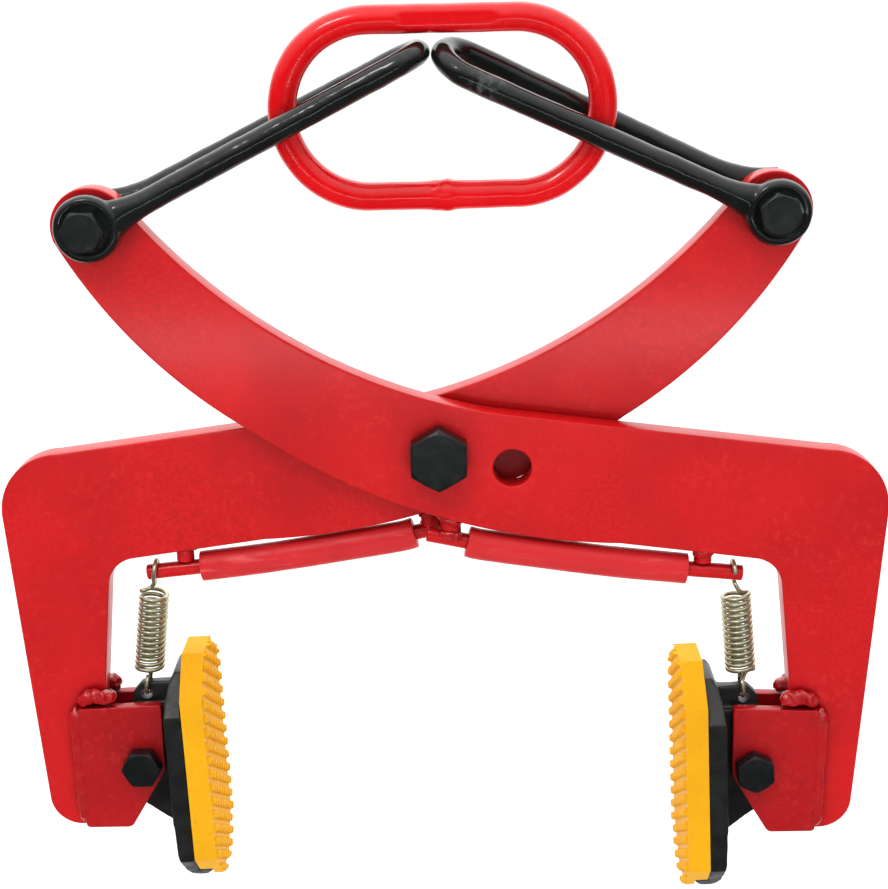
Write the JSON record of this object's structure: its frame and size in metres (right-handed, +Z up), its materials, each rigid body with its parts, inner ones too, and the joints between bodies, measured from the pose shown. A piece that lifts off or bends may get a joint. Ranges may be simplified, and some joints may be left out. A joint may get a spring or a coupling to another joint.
{
  "type": "plate lifting clamp",
  "caption": "Scissor-type plate lifting clamp: crossed plate arms on a pivot bolt, shackles joined by an oblong master link, hinged studded jaw pads with return springs, and carrying handles.",
  "frame": {"origin": "crane hook seat: under the middle of the master link's top bar, on the clamp's mid-plane", "axes": "+Z up, +X across the jaws to the front arm's jaw, +Y away from the bolt heads, along the pivot bolt"},
  "size_m": [0.5848, 0.108, 0.5927],
  "materials": {
    "red_paint": "semi-gloss enamel over flame-cut plate",
    "red_gloss": "high-gloss powder coat",
    "weld_red": "painted weld bead",
    "black_paint": "gloss black enamel over forging, worn at the bow",
    "cast_black": "semi-gloss black paint over sand casting",
    "black_steel": "black oxide steel",
    "pad_yellow": "cast polyurethane, satin",
    "grip_rubber": "extruded PVC sleeve, satin",
    "spring_zinc": "yellow zinc plated spring wire"
  },
  "bodies": {
    "pivot": {"pivot_bolt": "black_steel", "pivot_washer": "black_steel", "pivot_nut": "black_steel", "pivot_spacer": "black_steel"},
    "front_arm": {"arm_front": "red_paint", "cheek_right_front": "red_paint", "cheek_weld_right_front": "weld_red", "cheek_right_rear": "red_paint", "cheek_weld_right_rear": "weld_red", "handle_rod_right": "red_paint", "handle_stub_right": "red_paint", "handle_post_right": "red_paint", "handle_weld_right": "weld_red", "grip_right": "grip_rubber", "spring_right": "spring_zinc", "tip_left_bolt": "black_steel", "tip_left_washer": "black_steel", "tip_left_nut": "black_steel", "jaw_right_bolt": "black_steel", "jaw_right_washer": "black_steel", "jaw_right_nut": "black_steel"},
    "back_arm": {"arm_back": "red_paint", "cheek_left_front": "red_paint", "cheek_weld_left_front": "weld_red", "cheek_left_rear": "red_paint", "cheek_weld_left_rear": "weld_red", "handle_rod_left": "red_paint", "handle_stub_left": "red_paint", "handle_post_left": "red_paint", "handle_weld_left": "weld_red", "grip_left": "grip_rubber", "spring_left": "spring_zinc", "tip_right_bolt": "black_steel", "tip_right_washer": "black_steel", "tip_right_nut": "black_steel", "jaw_left_bolt": "black_steel", "jaw_left_washer": "black_steel", "jaw_left_nut": "black_steel"},
    "left_shackle": {"shackle_left": "black_paint"},
    "right_shackle": {"shackle_right": "black_paint"},
    "link": {"master_link": "red_gloss"},
    "right_jaw": {"pad_holder_right": "cast_black", "pad_right": "pad_yellow"},
    "left_jaw": {"pad_holder_left": "cast_black", "pad_left": "pad_yellow"}
  },
  "joints": [
    {"name": "front_arm_swing", "type": "hinge", "parent": "pivot", "child": "front_arm", "pos_m": [-0.0068, 0, -0.2645], "axis": [0, 1, 0], "range_deg": [-8, 10]},
    {"name": "back_arm_swing", "type": "hinge", "parent": "pivot", "child": "back_arm", "pos_m": [-0.0068, 0, -0.2645], "axis": [0, 1, 0], "range_deg": [-10, 8]},
    {"name": "left_shackle_swing", "type": "hinge", "parent": "front_arm", "child": "left_shackle", "pos_m": [-0.2213, -0.01, -0.1122], "axis": [0, 1, 0], "range_deg": [-24.9, 19.9]},
    {"name": "right_shackle_swing", "type": "hinge", "parent": "back_arm", "child": "right_shackle", "pos_m": [0.2077, 0.01, -0.1122], "axis": [0, 1, 0], "range_deg": [-19.9, 24.9]},
    {"name": "link_level", "type": "hinge", "parent": "left_shackle", "child": "link", "pos_m": [-0.01477, 0, -0.01147], "axis": [0, 1, 0], "range_deg": [-11.9, 14.9]},
    {"name": "right_jaw_tilt", "type": "hinge", "parent": "front_arm", "child": "right_jaw", "pos_m": [0.2017, -0.01, -0.4865], "axis": [0, 1, 0], "range_deg": [-10, 9], "stiffness_Nm_per_rad": 3.6, "springref_deg": 6.99, "deforming": ["spring_right"]},
    {"name": "left_jaw_tilt", "type": "hinge", "parent": "back_arm", "child": "left_jaw", "pos_m": [-0.2153, 0.01, -0.4865], "axis": [0, 1, 0], "range_deg": [-5, 14], "stiffness_Nm_per_rad": 3.6, "springref_deg": -6.99, "deforming": ["spring_left"]}
  ],
  "couplings": [
    {"joint": "back_arm_swing", "follows": "front_arm_swing", "ratio": -1},
    {"joint": "left_shackle_swing", "follows": "front_arm_swing", "ratio": -2.48},
    {"joint": "right_shackle_swing", "follows": "front_arm_swing", "ratio": 2.48},
    {"joint": "link_level", "follows": "front_arm_swing", "ratio": 1.48}
  ]
}
